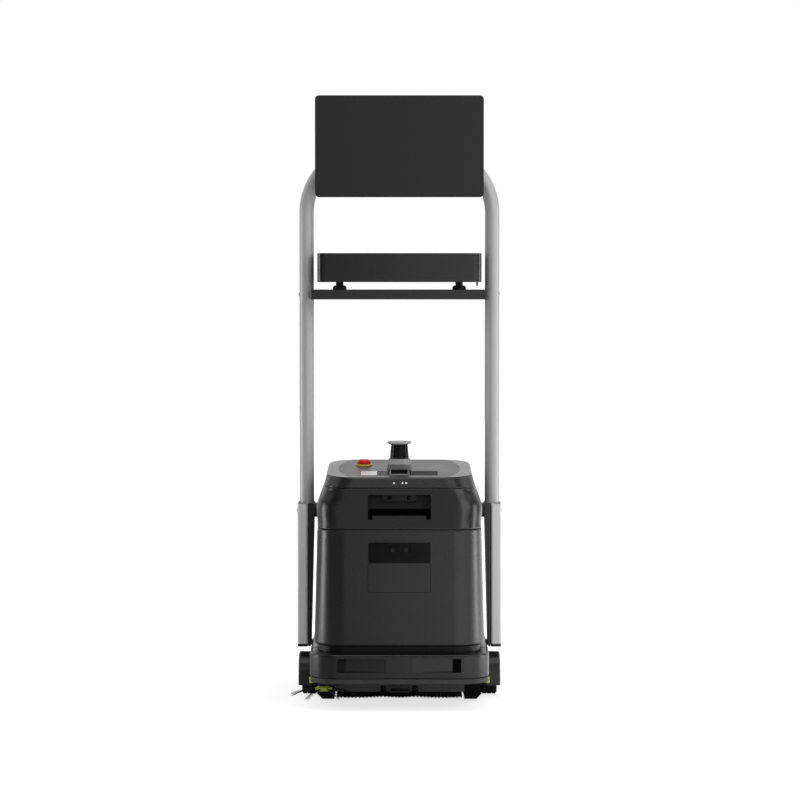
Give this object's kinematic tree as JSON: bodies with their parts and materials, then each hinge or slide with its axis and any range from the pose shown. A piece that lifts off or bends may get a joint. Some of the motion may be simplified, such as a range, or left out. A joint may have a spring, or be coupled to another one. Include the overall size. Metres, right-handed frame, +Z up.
{
  "type": "floor sweeping robot",
  "caption": "Boxy floor-sweeping robot on wheels with roller and side brushes, a dust drawer, a laser scanner and a bent-tube frame that carries a tray and a display",
  "frame": {"origin": "on the floor under the middle of the robot", "axes": "+Z up, -Y the way the robot drives, +X to the right as seen from the front"},
  "size_m": [0.5591, 0.589, 1.6077],
  "materials": {
    "graphite_shell": "fine moulded texture, satin",
    "deck_black": "smooth satin",
    "bumper_black": "moulded, satin",
    "strip_rubber": "matt",
    "sensor_black": "polished, infrared dark",
    "window_glass": "smoked, polished",
    "camera_black": "semi gloss",
    "screen_grey": "lit matt glass",
    "light_white": "frosted lens",
    "cap_grey": "satin",
    "stop_red": "moulded, semi gloss",
    "stop_yellow": "moulded",
    "chassis_paint": "powder coat, black",
    "motor_steel": "machined",
    "tyre_rubber": "matt",
    "hub_plastic": "moulded",
    "caster_grey": "matt",
    "zinc": "zinc plated",
    "bristle_black": "nylon bristle",
    "brush_yellow": "moulded",
    "battery_case": "powder coat",
    "board_green": "solder mask",
    "leg_silver": "silver anodised, satin",
    "bracket_black": "powder coat, black",
    "tray_black": "folded sheet, satin",
    "shelf_black": "powder coat, black",
    "foot_rubber": "matt",
    "display_black": "moulded, satin",
    "display_matt": "anti-glare glass",
    "contact_brass": "plated"
  },
  "bodies": {
    "base": {"chassis_pan": "chassis_paint", "base_skirt": "bumper_black", "charge_contacts": "contact_brass", "lower_shell": "graphite_shell", "access_panel": "graphite_shell", "front_window": "window_glass", "front_camera": "camera_black", "upper_cover": "graphite_shell", "depth_camera": "camera_black", "top_lid": "graphite_shell", "deck_panel": "deck_black", "deck_windows": "sensor_black", "status_screen": "screen_grey", "status_lights": "light_white", "scanner_base": "deck_black", "scanner_window": "sensor_black", "scanner_cap": "cap_grey", "stop_collar": "stop_yellow", "brush_lift": "motor_steel", "battery_pack": "battery_case", "suction_fan": "hub_plastic", "control_board": "board_green", "drive_motors": "bracket_black", "leg_caps": "bracket_black", "top_hoop": "leg_silver", "shelf": "shelf_black", "tray_feet": "foot_rubber", "tray": "tray_black", "display_housing": "display_black", "display_glass": "display_matt", "display_mount": "bracket_black", "left_wheel_arch": "bumper_black", "left_leg": "leg_silver", "left_leg_bracket": "bracket_black", "left_post": "leg_silver", "right_wheel_arch": "bumper_black", "right_leg": "leg_silver", "right_leg_bracket": "bracket_black", "right_post": "leg_silver"},
    "bumper": {"front_bumper": "bumper_black", "bumper_strip": "strip_rubber", "bumper_sensors": "sensor_black"},
    "bin": {"dust_bin": "graphite_shell"},
    "scanner": {"scanner_rotor": "camera_black"},
    "stop": {"stop_button": "stop_red"},
    "brush_deck": {"brush_tunnel": "bumper_black", "brush_motor": "motor_steel"},
    "roller": {"roller_core": "hub_plastic", "roller_brush": "bristle_black"},
    "side_arm": {"side_pod": "chassis_paint"},
    "side_brush": {"side_hub": "brush_yellow", "side_tufts": "bristle_black"},
    "left_wheel": {"left_tyre": "tyre_rubber", "left_wheel_hub": "hub_plastic"},
    "left_caster": {"left_caster_fork": "zinc"},
    "left_caster_roll": {"left_caster_wheel": "caster_grey"},
    "right_wheel": {"right_tyre": "tyre_rubber", "right_wheel_hub": "hub_plastic"},
    "right_caster": {"right_caster_fork": "zinc"},
    "right_caster_roll": {"right_caster_wheel": "caster_grey"}
  },
  "joints": [
    {"name": "bumper_press", "type": "slide", "parent": "base", "child": "bumper", "axis": [0, 1, 0], "range_m": [0, 0.008], "stiffness_N_per_m": 1500, "springref_m": -0.004},
    {"name": "bin_slide", "type": "slide", "parent": "base", "child": "bin", "axis": [0, 1, 0], "range_m": [0, 0.2]},
    {"name": "scanner_spin", "type": "hinge", "parent": "base", "child": "scanner", "pos_m": [0, -0.02, 0.63982], "axis": [0, 0, 1], "continuous": true},
    {"name": "stop_press", "type": "slide", "parent": "base", "child": "stop", "axis": [0, 0.0541, -0.9985], "range_m": [0, 0.004], "stiffness_N_per_m": 1500, "springref_m": -0.004},
    {"name": "brush_lift_slide", "type": "slide", "parent": "base", "child": "brush_deck", "axis": [0, 0, 1], "range_m": [-0.006, 0]},
    {"name": "roller_spin", "type": "hinge", "parent": "brush_deck", "child": "roller", "pos_m": [0, -0.08, 0.046], "axis": [1, 0, 0], "continuous": true},
    {"name": "side_arm_slide", "type": "slide", "parent": "base", "child": "side_arm", "axis": [0, 0, 1], "range_m": [-0.028, 0]},
    {"name": "side_brush_spin", "type": "hinge", "parent": "side_arm", "child": "side_brush", "pos_m": [-0.198, -0.219, 0.043], "axis": [0, 0, 1], "continuous": true},
    {"name": "left_wheel_spin", "type": "hinge", "parent": "base", "child": "left_wheel", "pos_m": [-0.262, 0.02, 0.052], "axis": [1, 0, 0], "continuous": true},
    {"name": "left_caster_swivel", "type": "hinge", "parent": "base", "child": "left_caster", "pos_m": [-0.15, 0.205, 0.108], "axis": [0, 0, 1], "continuous": true},
    {"name": "left_caster_spin", "type": "hinge", "parent": "left_caster", "child": "left_caster_roll", "pos_m": [-0.15, 0.227, 0.03], "axis": [1, 0, 0], "continuous": true},
    {"name": "right_wheel_spin", "type": "hinge", "parent": "base", "child": "right_wheel", "pos_m": [0.262, 0.02, 0.052], "axis": [1, 0, 0], "continuous": true},
    {"name": "right_caster_swivel", "type": "hinge", "parent": "base", "child": "right_caster", "pos_m": [0.15, 0.205, 0.108], "axis": [0, 0, 1], "continuous": true},
    {"name": "right_caster_spin", "type": "hinge", "parent": "right_caster", "child": "right_caster_roll", "pos_m": [0.15, 0.227, 0.03], "axis": [1, 0, 0], "continuous": true}
  ]
}
